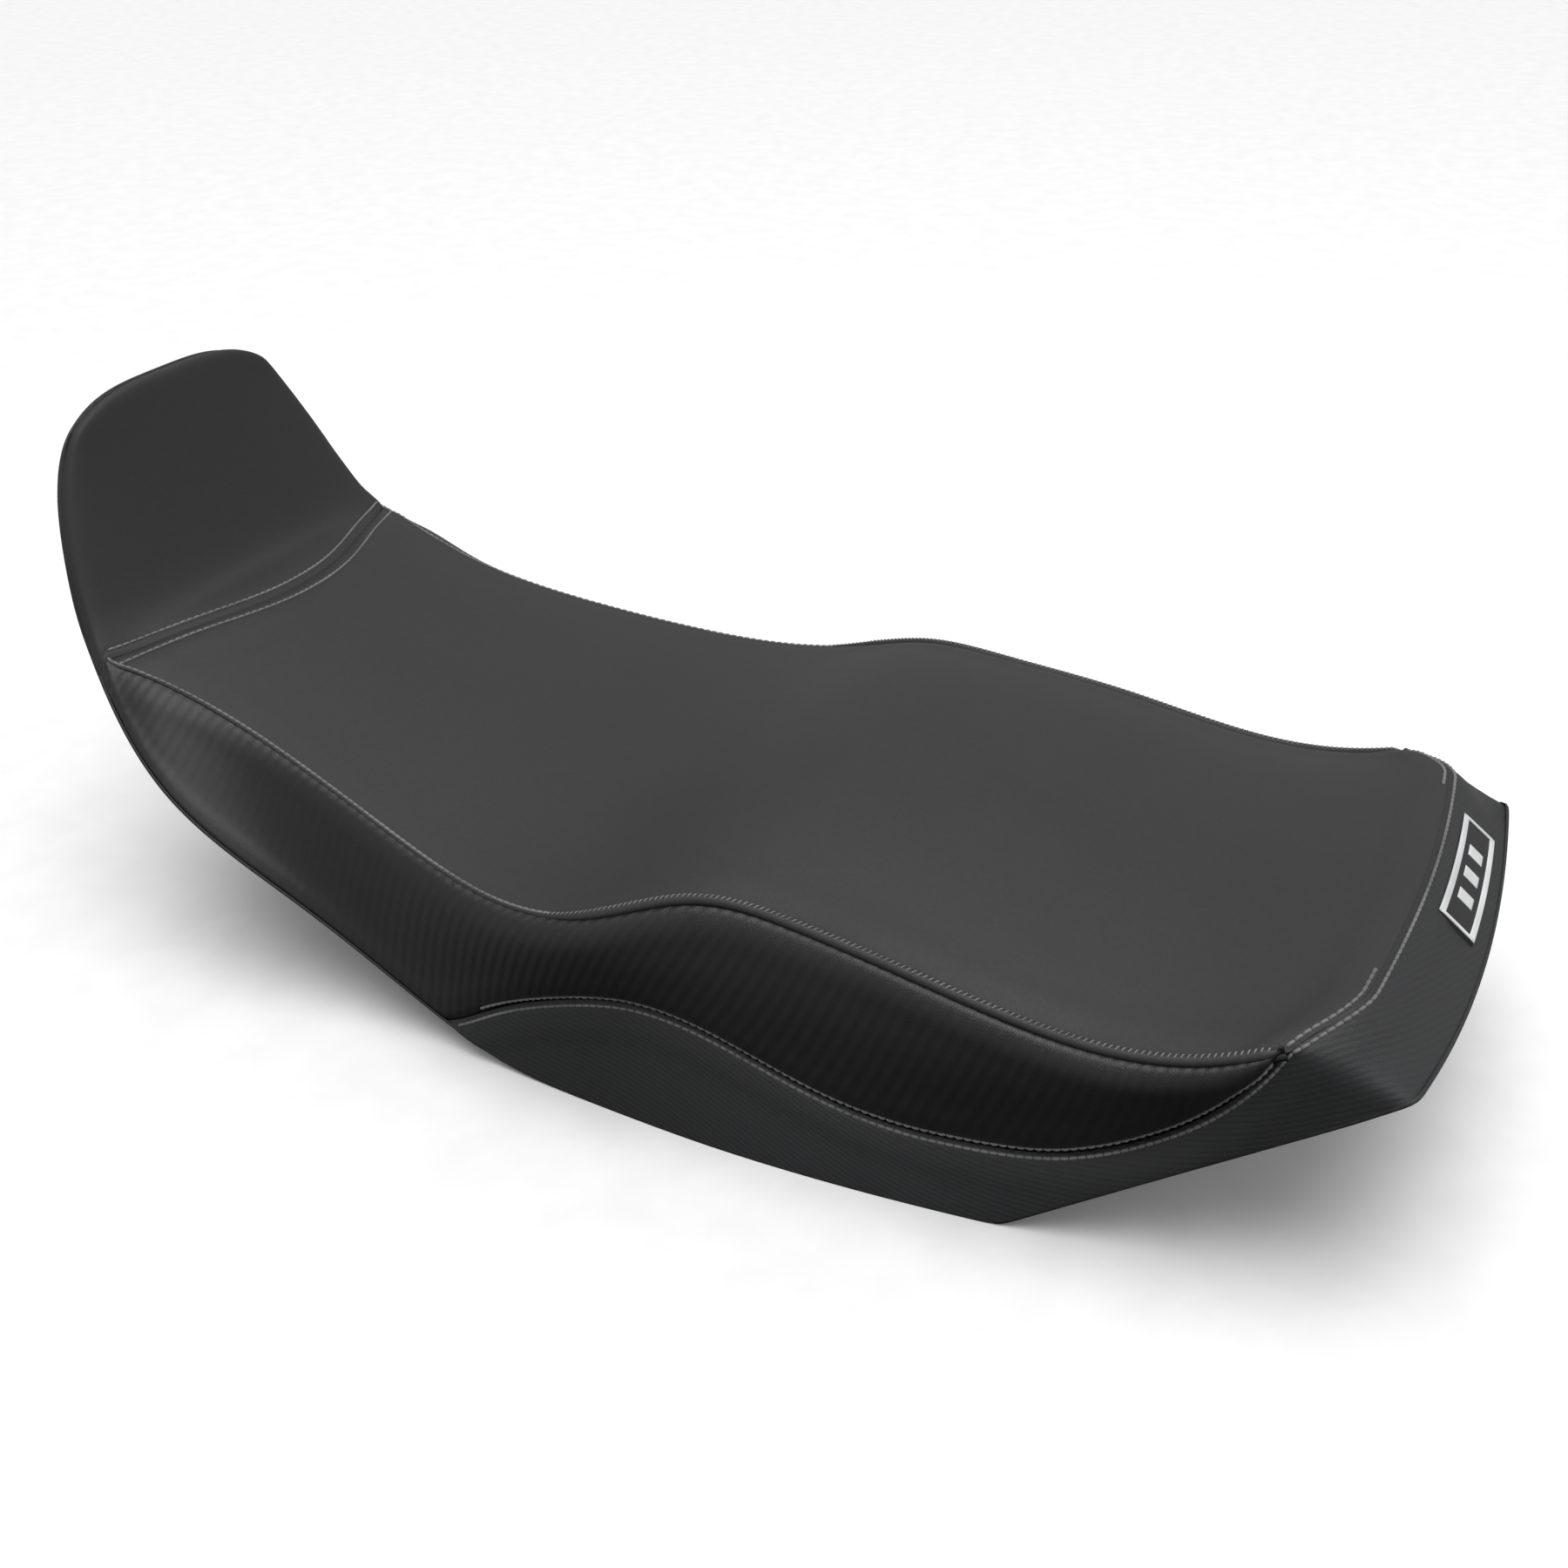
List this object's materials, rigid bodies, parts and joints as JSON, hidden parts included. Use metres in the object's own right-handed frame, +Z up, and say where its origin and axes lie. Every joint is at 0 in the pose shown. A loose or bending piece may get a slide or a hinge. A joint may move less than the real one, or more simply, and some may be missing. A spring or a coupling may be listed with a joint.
{
  "type": "motorcycle seat",
  "caption": "Long padded motorcycle dual seat with a climbing nose, dished rider area, raised passenger area, stitched ribbed side panels and a moulded pan below.",
  "frame": {"origin": "middle of the bounding box in plan, at the height of the skirt's flat lower run, which stands on the ground", "axes": "+X is the riding direction, towards the nose; +Y is the rider's left; +Z is up"},
  "size_m": [0.721, 0.3128, 0.2753],
  "materials": {
    "pan_plastic": "moulded black polypropylene",
    "foam": "moulded polyurethane foam",
    "nose_vinyl": "grained vinyl",
    "top_vinyl": "fine-grained matt vinyl",
    "ribbed_vinyl": "vinyl embossed with fine diagonal ribs",
    "band_vinyl": "vinyl embossed with a fine weave",
    "welt_vinyl": "vinyl-covered cord",
    "thread": "grey bonded polyester thread",
    "label": "woven label",
    "print": "raised white print",
    "bracket_steel": "black powder coat",
    "zinc_steel": "bright zinc plate",
    "brass": "machined",
    "rubber": "matt",
    "staple_steel": "plain wire"
  },
  "bodies": {
    "root": {"seat_pan": "pan_plastic", "foam_cushion": "foam", "nose_cover": "nose_vinyl", "top_cover": "top_vinyl", "left_side_cover": "ribbed_vinyl", "right_side_cover": "ribbed_vinyl", "rear_band_cover": "band_vinyl", "left_welt": "welt_vinyl", "right_welt": "welt_vinyl", "nose_stitching": "thread", "left_stitching": "thread", "right_stitching": "thread", "rear_stitching": "thread", "rear_label": "label", "label_print": "print", "front_hook": "bracket_steel", "hook_screws": "zinc_steel", "striker_plate": "bracket_steel", "striker_loop": "zinc_steel", "striker_bolts": "zinc_steel", "striker_washers": "zinc_steel", "threaded_inserts": "brass", "front_bumpers": "rubber", "rear_bumpers": "rubber", "nose_pads": "rubber", "cover_staples": "staple_steel"}
  },
  "joints": []
}
